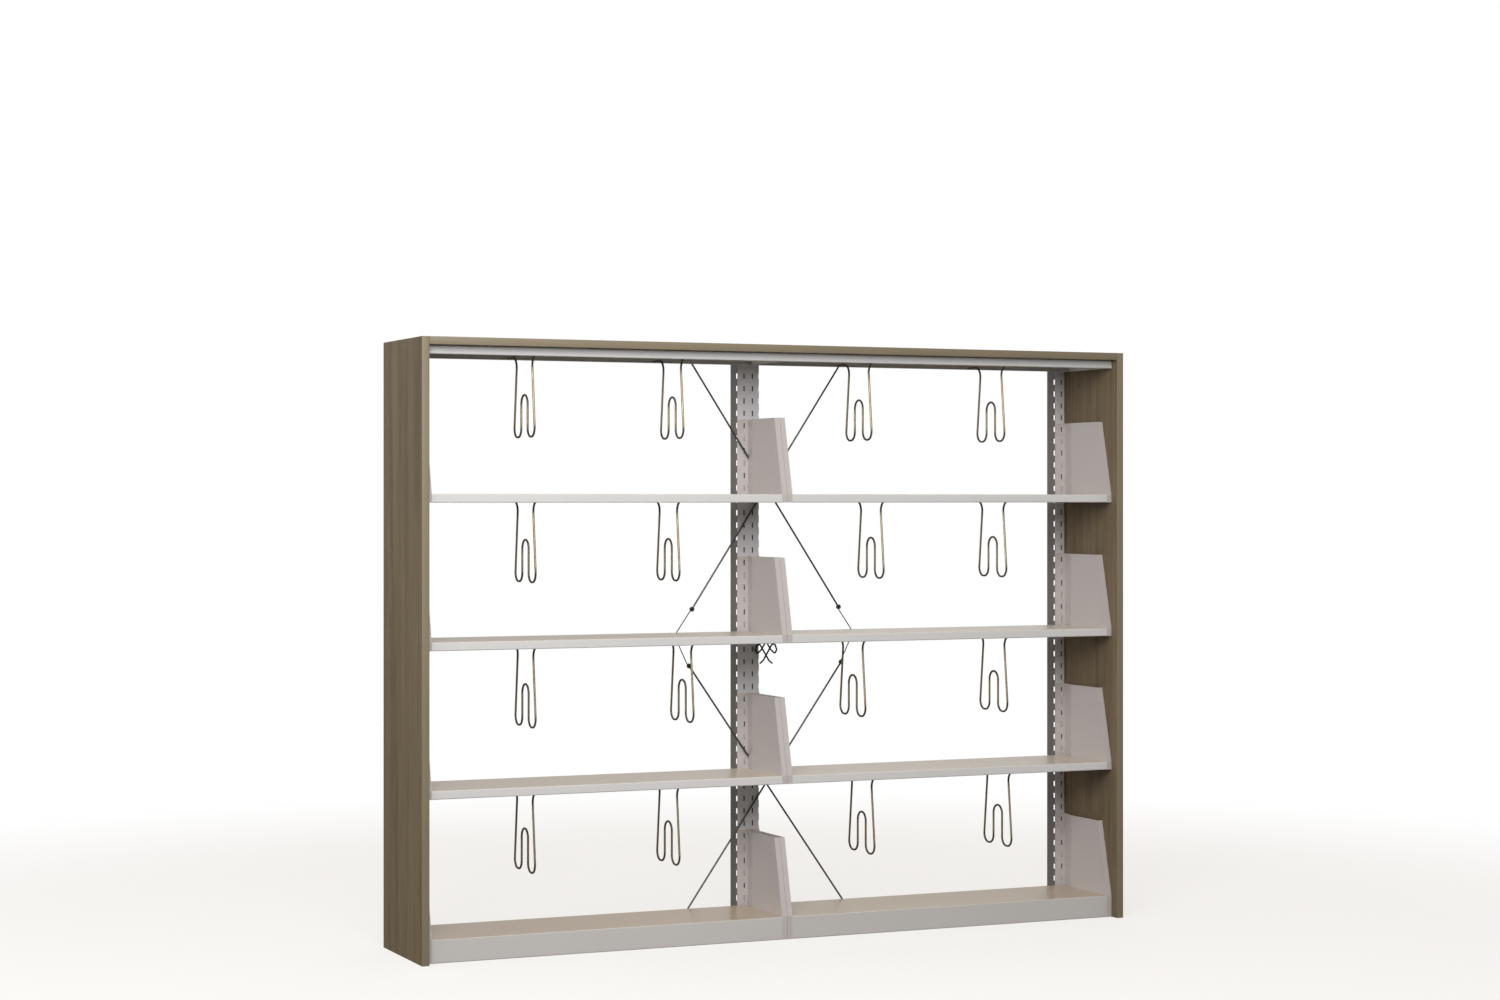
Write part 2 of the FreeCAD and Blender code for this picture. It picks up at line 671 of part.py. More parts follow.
def brace_link(side):
    """V-shaped wire from the screw in the middle shelf to the two brace eyes beside it."""
    tip = V(BRACE_OFFSET + side * LINK_HALF_SPAN, LINK_Y, LINK_HEIGHT)
    parts = [eye(tip, LINK_EYE_THICKNESS, EYE_DIAMETER)]
    for centre in link_eyes(side):
        turn = V(centre.x, LINK_Y, centre.z)
        pin_tip = V(centre.x, centre.y - EYE_THICKNESS / 2 - BRACE_GAP, centre.z)
        pin_root = turn + V(0, LINK_EYE_THICKNESS / 2, 0)
        parts.append(rod(tip, turn, LINK_WIRE))
        parts.append(rod(pin_root, pin_tip, SCREW_DIAMETER))
    hole = SCREW_DIAMETER + SCREW_FIT
    return joined(parts).cut(eye(tip, 2 * LINK_EYE_THICKNESS, hole))


def lip_screws():
    """Screws in the rear lips: place, distance behind the lip to the eye, and eye thickness."""
    places = []
    for start, end in brace_lines().values():
        for point in (start, end):
            if point.z > TRAY_TOP["shelf_1"] or point.z < TRAY_TOP["base_shelf"]:
                places.append((point.x, point.z, point.y - EYE_THICKNESS / 2, EYE_THICKNESS))
    for side in (-1, 1):
        x = BRACE_OFFSET + side * LINK_HALF_SPAN
        places.append((x, LINK_HEIGHT, LINK_Y - LINK_EYE_THICKNESS / 2, LINK_EYE_THICKNESS))
    return places


def brace_screws():
    """Screw, spacer sleeve and nut at each fixing of a brace."""
    shapes = []
    ahead = V(0, 1, 0)
    for x, z, eye_front, eye_thickness in lip_screws():
        head = V(x, SHELF_BACK - SHELF_SHEET - SCREW_HEAD, z)
        grip = eye_front + eye_thickness - (SHELF_BACK - SHELF_SHEET)
        body = screw(head, ahead, grip, NUT_HEIGHT, SCREW_HEAD_DIAMETER, SCREW_HEAD, SCREW_DIAMETER)
        sleeve = rod(V(x, SHELF_BACK, z), V(x, eye_front, z), SPACER_DIAMETER)
        nut_start = V(x, eye_front + eye_thickness, z)
        nut = hexagon(nut_start, nut_start + ahead * NUT_HEIGHT, NUT_WIDTH)
        shapes.append(joined([body, sleeve, nut]))
    return shapes + [clip_screw()]


def lip_screw_holes(name):
    """Holes in the rear lip of a tray for its brace screws."""
    top = TRAY_TOP[name]
    holes = []
    places = [(x, z) for x, z, _, _ in lip_screws()] + [(BRACE_OFFSET, clip_height())]
    for x, z in places:
        if top - SHELF_LIP < z < top:
            ends = V(x, SHELF_BACK - SHELF_SHEET - OVERCUT, z), V(x, SHELF_BACK + OVERCUT, z)
            holes.append(rod(*ends, SCREW_DIAMETER + SCREW_FIT))
    return holes


# ---------------------------------------------------------------- crossed wire clip
def clip_height():
    return TRAY_TOP["shelf_2"] - SCREW_BELOW_TOP


def clip_strand(mirror):
    """One black wire: down from the block, round its ear and through the crossing to its foot."""
    middle = SHELF_BACK + BRACE_SHELF_GAP + BRACE_ROD
    top = TRAY_TOP["shelf_2"]
    points = []
    for i, (sideways, down) in enumerate(CLIP_STRAND + CLIP_EAR):
        plane = CLIP_PLANE if i < len(CLIP_STRAND) else -CLIP_PLANE
        points.append(V(BRACE_OFFSET + mirror * sideways, middle + mirror * plane, top - down))
    return bent_wire(points, [CLIP_BEND_RADIUS] * (len(points) - 2), CLIP_WIRE)


def crossed_clip():
    """Two crossed black wires held by a small block behind the rear lip."""
    z = clip_height()
    back = SHELF_BACK + BRACE_SHELF_GAP + BRACE_ROD + CLIP_PLANE + CLIP_WIRE
    half = CLIP_BLOCK_WIDTH / 2
    block = box(BRACE_OFFSET - half, BRACE_OFFSET + half, SHELF_BACK, back,
                z - CLIP_BLOCK_HEIGHT / 2, z + CLIP_BLOCK_HEIGHT / 2)
    return joined([block, clip_strand(1), clip_strand(-1)]).cut(clip_screw())


def clip_screw():
    head = V(BRACE_OFFSET, SHELF_BACK - SHELF_SHEET - SCREW_HEAD, clip_height())
    return screw(head, V(0, 1, 0), SHELF_SHEET, BRACE_ROD, SCREW_HEAD_DIAMETER, SCREW_HEAD, SCREW_DIAMETER)


# ---------------------------------------------------------------- fastenings
def shelf_bolts(name, bay):
    """Bolts through each bracket plate and the end flange of its tray."""
    shapes = []
    z = TRAY_TOP[name] - BOLT_BELOW_TOP
    for _, plane, inward in bay_ends(bay):
        along = V(inward, 0, 0)
        plate = plane + inward * BRACKET_INSET
        for setback in BOLT_SETBACKS:
            head = V(plate - inward * BOLT_HEAD, FRONT + setback, z)
            grip = BRACKET_SHEET + SHELF_SHEET
            body = screw(head, along, grip, BOLT_NUT, BOLT_HEAD_DIAMETER, BOLT_HEAD, BOLT_DIAMETER)
            nut_start = V(plate + inward * grip, FRONT + setback, z)
            nut = hexagon(nut_start, nut_start + along * BOLT_NUT, BOLT_HEAD_DIAMETER)
            shapes.append(joined([body, nut]))
    return shapes


def canopy_screws():
    """Screws from inside each canopy up into the top board."""
    shapes = []
    top = TRAY_TOP["canopy"]
    for bay in BAYS:
        ends = (BAY_LEFT[bay] + CANOPY_SCREW_INSET, BAY_LEFT[bay] + BAY_WIDTH - CANOPY_SCREW_INSET)
        for x in ends:
            for setback in CANOPY_SCREW_SETBACKS:
                head = V(x, FRONT + setback, top - SHELF_SHEET - WOOD_SCREW_HEAD)
                shapes.append(wood_screw(head, V(0, 0, 1), SHELF_SHEET))
    return shapes


def wood_screw(head, direction, grip):
    head_size = (WOOD_SCREW_HEAD_DIAMETER, WOOD_SCREW_HEAD)
    return screw(head, direction, grip, WOOD_SCREW_DEPTH, *head_size, WOOD_SCREW_DIAMETER)


def upright_top_screws():
    """Screws through the head plate of each upright into the top board."""
    below = V(0, 0, BOARD_UNDERSIDE - UPRIGHT_END_PLATE - WOOD_SCREW_HEAD)
    return [wood_screw(middle + below, V(0, 0, 1), UPRIGHT_END_PLATE) for middle in channel_middles()]


def panel_screws(side):
    """Screws from inside an end upright into its end panel."""
    shapes = []
    y = (UPRIGHT_FRONT + UPRIGHT_BACK) / 2
    pitch = (OVERALL_HEIGHT - 2 * PANEL_SCREW_END_GAP) / (PANEL_SCREW_COUNT - 1)
    for i in range(PANEL_SCREW_COUNT):
        head = V(side * (BAY_WIDTH - UPRIGHT_WALL - WOOD_SCREW_HEAD), y, PANEL_SCREW_END_GAP + i * pitch)
        shapes.append(wood_screw(head, V(side, 0, 0), UPRIGHT_WALL))
    return shapes


# ---------------------------------------------------------------- all nodes
def build_nodes():
    """Every node by name: a solid, or a list of like solids."""
    nodes = {
        "left_end_panel": end_panel(-1),
        "right_end_panel": end_panel(1),
        "top_board": top_board(),
        "top_board_dowels": dowels(),
        "levelling_feet": feet(),
        "wood_screws": canopy_screws() + upright_top_screws() + panel_screws(-1) + panel_screws(1),
        "brace_screws": brace_screws(),
        "brace_links": [brace_link(-1), brace_link(1)],
        "crossed_wire_clip": crossed_clip(),
        "shelf_bolts": [bolt for name in SHELVES for bay in BAYS for bolt in shelf_bolts(name, bay)],
    }
    for name in upright_spans():
        nodes[name] = upright(name)
    for name in brace_lines():
        nodes[name] = brace_rod(name)
    for bay in BAYS:
        nodes["canopy_" + bay] = canopy(bay)
        for name in SHELVES:
            nodes[name + "_" + bay] = shelf(name, bay)
            for end, plane, inward in bay_ends(bay):
                nodes["bracket_" + name + "_" + bay + "_" + end] = bracket(name, bay, plane, inward)
    for name, places in SUPPORT_PLACES.items():
        number = 0
        for bay in BAYS:
            for distance in places[bay]:
                number += 1
                x = BAY_LEFT[bay] + distance
                nodes["support_" + name + "_" + str(number)] = book_support(x, TRAY_TOP[name])
    return nodes


def main():
    os.makedirs("parts", exist_ok=True)
    for name, shape in build_nodes().items():
        solid = Part.makeCompound(shape) if isinstance(shape, list) else shape
        solid.exportStep("parts/" + name + ".step")


main()
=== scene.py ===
import json
import math

import bmesh
import bpy
from mathutils import Matrix, Vector


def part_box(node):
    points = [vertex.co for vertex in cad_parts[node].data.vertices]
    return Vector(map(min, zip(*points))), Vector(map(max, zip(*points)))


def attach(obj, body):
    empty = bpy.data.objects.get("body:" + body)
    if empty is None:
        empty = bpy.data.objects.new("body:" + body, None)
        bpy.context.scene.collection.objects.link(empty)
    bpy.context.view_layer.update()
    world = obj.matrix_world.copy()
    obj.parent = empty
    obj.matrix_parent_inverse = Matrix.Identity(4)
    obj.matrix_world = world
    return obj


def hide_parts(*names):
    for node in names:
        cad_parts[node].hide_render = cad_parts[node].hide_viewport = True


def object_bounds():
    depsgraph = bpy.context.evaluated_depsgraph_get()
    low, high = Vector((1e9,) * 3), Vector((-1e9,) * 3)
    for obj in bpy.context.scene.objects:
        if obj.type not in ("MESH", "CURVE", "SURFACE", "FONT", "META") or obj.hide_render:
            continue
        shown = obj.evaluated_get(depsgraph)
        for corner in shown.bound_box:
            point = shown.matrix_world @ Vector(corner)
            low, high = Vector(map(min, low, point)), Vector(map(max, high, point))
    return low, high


bl_info = {
    "name": "Library Shelving",
    "version": (1, 0, 0),
    "blender": (4, 5, 0),
    "location": "View3D > Sidebar > Shelving",
    "description": "Dresses a framed library shelving unit with laminate, powder coat and wire",
    "category": "Add Mesh",
}

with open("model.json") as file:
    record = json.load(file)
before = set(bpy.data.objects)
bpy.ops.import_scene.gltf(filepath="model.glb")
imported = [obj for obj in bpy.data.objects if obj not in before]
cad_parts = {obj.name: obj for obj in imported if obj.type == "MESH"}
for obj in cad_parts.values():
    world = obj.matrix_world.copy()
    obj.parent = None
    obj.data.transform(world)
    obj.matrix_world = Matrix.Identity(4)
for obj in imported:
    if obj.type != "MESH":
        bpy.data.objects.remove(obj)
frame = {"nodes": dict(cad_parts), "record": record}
CAD_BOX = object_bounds()
FRAME_BODY = "frame"
MM = 0.001
BEND_LAYER = "bend"
NODES = sorted(frame["nodes"])
SUPPORTS = [name for name in NODES if name.startswith("support_")]
BASE_TRAYS = [name for name in NODES if name.startswith("base_shelf_")]
TRAYS = [name for name in NODES if name.startswith(("shelf_1", "shelf_2", "shelf_3", "canopy_"))]
BRACKETS = [name for name in NODES if name.startswith("bracket_")]
UPRIGHTS = [name for name in NODES if name.endswith("_upright")]
BRACE_RODS = [name for name in NODES if name.startswith("brace_rod_")]
FASTENERS = ("shelf_bolts", "wood_screws", "brace_screws")


# ---------------------------------------------------------------- sizes and colours a user would change
def colour(name, description, default):
    return bpy.props.FloatVectorProperty(
        name=name, description=description, subtype="COLOR", size=3, min=0.0, max=1.0, default=default
    )


def length(name, description, millimetres):
    return bpy.props.FloatProperty(
        name=name, description=description, unit="LENGTH", min=0.0, default=millimetres * MM
    )


def share(name, description, default):
    return bpy.props.FloatProperty(
        name=name, description=description, subtype="FACTOR", min=0.0, max=1.0, default=default
    )


def power(name, description, watts):
    return bpy.props.FloatProperty(name=name, description=description, unit="POWER", min=0.0, default=watts)


def position(name, description, default):
    return bpy.props.FloatVectorProperty(
        name=name, description=description, subtype="TRANSLATION", size=3, default=default
    )


class ShelvingBoardSettings(bpy.types.PropertyGroup):
    """Laminated boards and their edge bands"""

    light: colour("Light grain", "Colour of the pale grain of the laminate", (0.250, 0.190, 0.115))
    dark: colour("Dark grain", "Colour of the dark grain of the laminate", (0.128, 0.094, 0.054))
    # Painted light: the band is paler than the laminate it edges, for the light on the front edges.
    band: colour("Edge band", "Colour of the edge bands", (0.300, 0.246, 0.162))
    dowel: colour("Dowels", "Colour of the beech dowels", (0.42, 0.29, 0.16))
    band_thickness: length("Band thickness", "How far the edge band stands in front of the board", 0.5)
    band_margin: length("Band margin", "How much narrower the band is than the board, each side", 0.25)
    streak: length("Streak width", "Width of the fine grain streaks", 3.4)
    figure: length("Figure width", "Width of the broad bands of the grain", 34.0)
    gloss: share("Roughness", "Roughness of the laminate", 0.46)


class ShelvingSteelSettings(bpy.types.PropertyGroup):
    """Powder-coated trays, brackets and uprights"""

    tray: colour("Tray coat", "Colour of the trays", (0.80, 0.79, 0.785))
    # Painted shade and reflection: the upper faces of the trays are darker and warmer than their coat.
    tray_top_shade_and_reflection: colour("Tray tops", "Colour of the upper faces of the trays", (0.68, 0.60, 0.50))
    # Painted shade: the base trays are a darker grey than the other trays.
    base: colour("Base coat", "Colour of the two base trays", (0.69, 0.665, 0.65))
    # Painted shade and reflection: the upper faces of the base trays are darker and warmer than their coat.
    base_top_shade_and_reflection: colour("Base tops", "Colour of the upper faces of the base trays", (0.55, 0.45, 0.335))
    # Painted shade and reflection: the brackets are a darker, warmer grey than the trays.
    bracket: colour("Bracket coat", "Colour of the side brackets", (0.62, 0.575, 0.565))
    upright: colour("Upright coat", "Colour of the slotted faces of the uprights", (0.74, 0.725, 0.74))
    # Painted shade: the side walls of the uprights are dark.
    upright_side_shade: colour("Upright sides", "Colour of the side walls of the uprights", (0.20, 0.188, 0.182))
    # Painted shade: the inside of the uprights behind the slots is near black.
    hollow_shade: colour("Inside of the uprights", "Colour of the strips behind the slots", (0.06, 0.056, 0.054))
    dust: colour("Clouds", "Colour of the faint clouds in the coat", (0.30, 0.27, 0.24))
    grain: length("Coat grain", "Size of the grain in the powder coat", 0.9)
    roughness: share("Roughness", "Roughness of the powder coat", 0.34)


class ShelvingWireSettings(bpy.types.PropertyGroup):
    """Bent wire book supports"""

    metal: colour("Olive zinc", "Colour of the olive clouds of the plating", (0.40, 0.37, 0.23))
    rosy: colour("Rosy zinc", "Colour of the rosy clouds of the plating", (0.42, 0.28, 0.18))
    # Painted reflection: the wire is dark and less metallic where it is bent.
    bend: colour("Bends", "Colour of the plating where the wire is bent", (0.045, 0.032, 0.020))
    wire: length("Wire", "Diameter of the wire", 5.0)
    drop_to_crest: length("Inner rise", "Height of the inner loop above the bottom", 103.0)
    leg_lean: length("Leg lean", "How far the foot of a leg stands out past its top", 21.0)
    bottom_width: length("Bottom width", "Width over the bottom loops, wire centre to wire centre", 145.0)
    front_reach: length("Front reach", "Distance from the front end of the wire to the front loop", 21.3)
    inner_width: length("Inner width", "Width of the inner loop, wire centre to wire centre", 44.0)
    top_radius: length("Top bend", "Radius of the bends at the top", 25.0)
    bottom_radius: length("Bottom bend", "Radius of the bottom loops", 21.0)
    inner_radius: length("Inner bend", "Radius of the inner loop", 21.5)
    ring_spacing: length("Ring spacing", "Longest step between the rings of a wire's mesh", 9.0)
    roughness: share("Roughness", "Roughness of the plating", 0.36)


class ShelvingBraceSettings(bpy.types.PropertyGroup):
    """Brace rods, link wires, the crossed clip, fasteners and feet"""

    rod: colour("Rod", "Colour of the brace rods", (0.13, 0.13, 0.133))
    black: colour("Black wire", "Colour of the coated black wire", (0.006, 0.006, 0.006))
    foot: colour("Feet", "Colour of the plastic feet", (0.02, 0.02, 0.02))
    zinc: colour("Bright zinc", "Colour of the screws and bolts", (0.55, 0.56, 0.57))
    roughness: share("Roughness", "Roughness of the bare steel", 0.38)


class ShelvingStageSettings(bpy.types.PropertyGroup):
    """Floor, lights and camera"""

    floor: colour("Floor", "Colour of the floor", (0.24, 0.242, 0.250))
    floor_glow: colour(
        "Floor glow", "Light of the floor itself, which keeps its shadows pale", (0.730, 0.715, 0.695)
    )
    backdrop: colour("Backdrop", "Colour behind the unit", (1.0, 1.0, 1.0))
    overhead: colour("Overhead", "Light of the room from above", (0.52, 0.455, 0.37))
    level: colour("Level", "Light of the room from the sides", (0.50, 0.50, 0.50))
    from_floor: colour("From the floor", "Light of the room from below", (0.13, 0.126, 0.12))
    floor_size: length("Floor size", "Side of the square floor", 40000.0)
    floor_near: length("Shadow reach", "Distance within which the floor takes shadows", 1600.0)
    floor_far: length("White reach", "Distance from which the floor is as white as the backdrop", 3600.0)
    key_power: power("Key light", "Power of the large soft light at the front left", 86.0)
    key_place: position("Key light", "Place of the key light", (-1.6, -2.9, 2.4))
    side_power: power("Side light", "Power of the light at the left end", 22.0)
    side_place: position("Side light", "Place of the side light", (-3.5, 0.2, 1.0))
    rear_power: power("Rear light", "Power of the light behind the unit", 19.0)
    rear_place: position("Rear light", "Place of the rear light", (2.4, 3.4, 2.8))
    light_size: length("Light size", "Side of each square light", 2000.0)
    lens: bpy.props.FloatProperty(
        name="Lens", description="Focal length for a 36 mm wide image", unit="CAMERA", default=67.96
    )
    camera_place: position("Camera", "Place of the camera", (-2.839, -6.272, 1.0505))
    camera_turn: bpy.props.FloatProperty(
        name="Turn", description="Turn of the camera to the right of straight ahead", subtype="ANGLE",
        default=math.radians(24.03)
    )


SETTINGS = {
    "shelving_boards": ShelvingBoardSettings,
    "shelving_steel": ShelvingSteelSettings,
    "shelving_wire": ShelvingWireSettings,
    "shelving_braces": ShelvingBraceSettings,
    "shelving_stage": ShelvingStageSettings,
}


# ---------------------------------------------------------------- shader maths
# Sockets of a Mix node that mixes colours.
MIX_FACTOR = 0
MIX_LOW = 6
MIX_HIGH = 7
MIX_COLOUR = 2


class Sock:
    """One socket of a shader tree: arithmetic on it adds Math nodes."""

    def __init__(self, tree, socket):
        self.tree = tree
        self.socket = socket

    def maths(self, operation, first, second=0.0):
        return self.tree.node("ShaderNodeMath", {"operation": operation}, {0: first, 1: second})

    def __add__(self, other):
        return self.maths("ADD", self, other)

    def __radd__(self, other):
        return self.maths("ADD", other, self)

    def __sub__(self, other):
        return self.maths("SUBTRACT", self, other)

    def __rsub__(self, other):
        return self.maths("SUBTRACT", other, self)

    def __mul__(self, other):
        return self.maths("MULTIPLY", self, other)

    def __rmul__(self, other):
        return self.maths("MULTIPLY", other, self)

    def highest(self, other):
        """The larger of two values."""
        return self.maths("MAXIMUM", self, other)

    def lowest(self, other):
        """The smaller of two values."""
        return self.maths("MINIMUM", self, other)

    def size(self):
        """The value without its sign."""
        return self.maths("ABSOLUTE", self)

    def swing(self, amount):
        """Noise made to swing about zero, over this amount in all."""
        return (self - 0.5) * amount

    def held(self):
        """The value, kept between 0 and 1."""
        return self.highest(0.0).lowest(1.0)

    def step_up(self, low, high):
        """0 below low, 1 above high and smooth between them."""
        inputs = {"Value": self, "From Min": low, "From Max": high}
        return self.tree.node("ShaderNodeMapRange", {"interpolation_type": "SMOOTHSTEP"}, inputs)


class Tree:
    """The node tree of one new material, or of the world."""

    def __init__(self, name, owner=None):
        self.owner = owner or bpy.data.materials.new(name)
        self.owner.use_nodes = True
        self.nodes = self.owner.node_tree.nodes
        self.links = self.owner.node_tree.links
        self.nodes.clear()

    def node(self, kind, settings=None, inputs=None, output=0):
        """Any node: its settings first, then the values or links of its sockets."""
        made = self.nodes.new(kind)
        for key, value in (settings or {}).items():
            if key == "stops":
                self.set_stops(made.color_ramp, value)
            else:
                setattr(made, key, value)
        for key, value in (inputs or {}).items():
            if isinstance(value, Sock):
                self.links.new(value.socket, made.inputs[key])
            else:
                made.inputs[key].default_value = value
        return Sock(self, made.outputs[output]) if len(made.outputs) else None

    def set_stops(self, ramp, stops):
        """Colours of a ramp, as pairs of a position and a colour."""
        while len(ramp.elements) > 1:
            ramp.elements.remove(ramp.elements[-1])
        first, *others = stops
        ramp.elements[0].position = first[0]
        ramp.elements[0].color = rgba(first[1])
        for at, tint in others:
            ramp.elements.new(at).color = rgba(tint)

    def place(self, stretch=(1.0, 1.0, 1.0)):
        """Object coordinates in metres, stretched along the axes."""
        spot = self.node("ShaderNodeTexCoord", output="Object")
        return self.node("ShaderNodeVectorMath", {"operation": "MULTIPLY"}, {0: spot, 1: stretch})

    def facing(self, axis):
        """How far the surface looks along one axis, from -1 to 1."""
        looks = self.node("ShaderNodeTexCoord", output="Normal")
        return self.node("ShaderNodeSeparateXYZ", {}, {0: looks}, axis)

    def noise(self, size, detail=2.0, stretch=(1.0, 1.0, 1.0), roughness=0.5, distortion=0.0):
        """Noise whose lumps are about size metres wide."""
        inputs = {"Vector": self.place(stretch), "Scale": 1.0 / size, "Detail": detail,
                  "Roughness": roughness, "Distortion": distortion}
        return self.node("ShaderNodeTexNoise", {"normalize": True}, inputs)

    def blend(self, factor, low, high):
        """Mix of two colours."""
        inputs = {MIX_FACTOR: factor, MIX_LOW: rgba(low), MIX_HIGH: rgba(high)}
        return self.node("ShaderNodeMix", {"data_type": "RGBA"}, inputs, MIX_COLOUR)

    def bump(self, height, distance, strength):
        """Bumps of the given depth in metres."""
        return self.node("ShaderNodeBump", {}, {"Height": height, "Distance": distance, "Strength": strength})

    def finish(self, **sockets):
        """Principled surface with the given sockets, such as Base_Color."""
        self.node("ShaderNodeOutputMaterial", {}, {"Surface": self.surface(**sockets)})
        return self.owner

    def surface(self, **sockets):
        """Principled shader with the given sockets."""
        inputs = {key.replace("_", " "): value for key, value in sockets.items()}
        return self.node("ShaderNodeBsdfPrincipled", {}, inputs)


def rgba(tint):
    """A colour with full opacity, or the socket that gives it."""
    return tint if isinstance(tint, Sock) else (*tint, 1.0)


# ---------------------------------------------------------------- finishes
# How much a pattern is drawn out along the grain: its scale along it, as a share of that across.
GRAIN_DRAW = 0.03
PORE_DRAW = 0.06
BAND_DRAW = 0.02
MARK_DRAW = 0.08
# Widths of finer and wider patterns, as shares of the widths that can be set.
PORE_TO_STREAK = 0.4
LINE_TO_STREAK = 0.8
CLOUD_TO_FIGURE = 4.0
MOTTLE_TO_GRAIN = 4.0
# Widths of the other patterns.
COAT_CLOUD = 220 * MM
ZINC_CLOUD = 70 * MM
ZINC_GRAIN = 2.5 * MM
STEEL_CLOUD = 30 * MM
STEEL_MARK = 0.7 * MM
COATING_LUMP = 3 * MM
PLAIN_GRAIN = 0.8 * MM
# Depths of the bumps.
PORE_DEPTH = 0.12 * MM
BAND_LINE_DEPTH = 0.1 * MM
PEEL_DEPTH = 0.06 * MM
ZINC_DEPTH = 0.04 * MM
MARK_DEPTH = 0.03 * MM
LUMP_DEPTH = 0.1 * MM
PLAIN_DEPTH = 0.05 * MM
# How far behind the slotted face of an upright the painted shade of its inside begins and is full.
HOLLOW_STARTS = 4 * MM
HOLLOW_FULL = 6 * MM
# Where a mask begins and where it is full: for the faces given painted shade or reflection by the way they
# look, and for the patches of a pattern.
UPWARD = (0.6, 0.95)
SIDEWAYS = (0.55, 0.8)
FORWARD = (0.5, 0.8)
PORE_EDGE = (0.62, 0.74)
MOTTLE_EDGE = (0.3, 0.7)
ZINC_EDGE = (0.4, 0.6)
LUMP_EDGE = (0.3, 0.8)
# Contrast of the print on the boards and on their bands.
STREAK_CONTRAST = 1.9
FIGURE_CONTRAST = 1.5
PRINT_OFFSET = -1.2
LINE_CONTRAST = 0.9
BAND_CLOUD_CONTRAST = 0.5
BAND_OFFSET = -0.25


def shade(tint, factor):
    """A colour made darker or lighter by a factor."""
    return tuple(part * factor for part in tint)


def drawn_out(along, share_along):
    """Scale of a pattern that is drawn out along one axis."""
    return tuple(share_along if axis == along else 1.0 for axis in "XYZ")


def laminate(name, along, settings):
    """Printed oak laminate with its grain along one axis."""
    tree = Tree(name)
    grain = drawn_out(along, GRAIN_DRAW)
    streaks = tree.noise(settings.streak, detail=3.0, stretch=grain, roughness=0.62, distortion=0.3)
    figure = tree.noise(settings.figure, detail=2.0, stretch=grain, distortion=0.8)
    pores = tree.noise(settings.streak * PORE_TO_STREAK, detail=1.0, stretch=drawn_out(along, PORE_DRAW))
    tone = (streaks * STREAK_CONTRAST + figure * FIGURE_CONTRAST + PRINT_OFFSET).held()
    pore_mask = pores.step_up(*PORE_EDGE) * 0.45
    printed = tree.blend(tone, settings.dark, settings.light)
    face = tree.blend(pore_mask, printed, shade(settings.dark, 0.6))
    rough = settings.gloss + streaks.swing(0.16)
    normal = tree.bump(streaks * 0.3 - pore_mask, PORE_DEPTH, 0.5)
    return tree.finish(Base_Color=face, Roughness=rough, Normal=normal, Specular_IOR_Level=0.22)


def edge_band(name, along, settings):
    """Edge band with faint lines along its length, paler than the laminate as painted light on the front
    edges.
    """
    tree = Tree(name)
    width = settings.streak * LINE_TO_STREAK
    lines = tree.noise(width, detail=2.0, stretch=drawn_out(along, BAND_DRAW), roughness=0.6)
    cloud = tree.noise(settings.figure * CLOUD_TO_FIGURE, detail=1.0)
    tone = (lines * LINE_CONTRAST + cloud * BAND_CLOUD_CONTRAST + BAND_OFFSET).held()
    # Painted light: the band colour is paler than the laminate.
    face = tree.blend(tone, shade(settings.band, 0.78), settings.band)
    rough = settings.gloss + lines.swing(0.1)
    normal = tree.bump(lines, BAND_LINE_DEPTH, 0.3)
    return tree.finish(Base_Color=face, Roughness=rough, Normal=normal)


def powder_coat(name, tint, settings, painted_top_tint=None):
    """Smooth powder coat with a fine orange-peel grain, and painted shade and reflection on the faces that
    look up.
    """
    tree = Tree(name)
    peel = tree.noise(settings.grain, detail=2.0)
    cloud = tree.noise(COAT_CLOUD, detail=2.0)
    # Painted shade and reflection: the faces that look up take their own tint.
    upward = tree.facing("Z").step_up(*UPWARD)
    coat = tree.blend(upward, tint, painted_top_tint or tint)
    face = tree.blend((cloud * 0.09).held(), coat, settings.dust)
    rough = settings.roughness + cloud.swing(0.08) + peel.swing(0.05)
    normal = tree.bump(peel, PEEL_DEPTH, 0.35)
    return tree.finish(Base_Color=face, Roughness=rough, Normal=normal, Coat_Weight=0.25, Coat_Roughness=0.12)


def painted_shade_upright_coat(name, settings, slotted_face):
    """Powder coat of the uprights: pale front, painted shade on the mottled side walls and inside behind the
    slots.
    """
    tree = Tree(name)
    wall = tree.facing("X").size().step_up(*SIDEWAYS)
    forward = (tree.facing("Y") * -1.0).step_up(*FORWARD)
    depth = tree.node("ShaderNodeSeparateXYZ", {}, {0: tree.place()}, "Y")
    deep = depth.step_up(slotted_face + HOLLOW_STARTS, slotted_face + HOLLOW_FULL)
    peel = tree.noise(settings.grain, detail=2.0)
    mottle = tree.noise(settings.grain * MOTTLE_TO_GRAIN, detail=3.0)
    pale = tree.blend(peel * 0.5, settings.upright, shade(settings.upright, 0.93))
    # Painted shade: the dark, mottled colour given to the side walls.
    dark = tree.blend(mottle.step_up(*MOTTLE_EDGE), settings.upright_side_shade, shade(settings.upright_side_shade, 0.8))
    # The inside faces behind the slots take the dark painted shade.
    face = tree.blend(forward * deep, tree.blend(wall, pale, dark), settings.hollow_shade)
    rough = settings.roughness + mottle.swing(0.1)
    normal = tree.bump(peel, PEEL_DEPTH, 0.35)
    return tree.finish(Base_Color=face, Roughness=rough, Normal=normal)


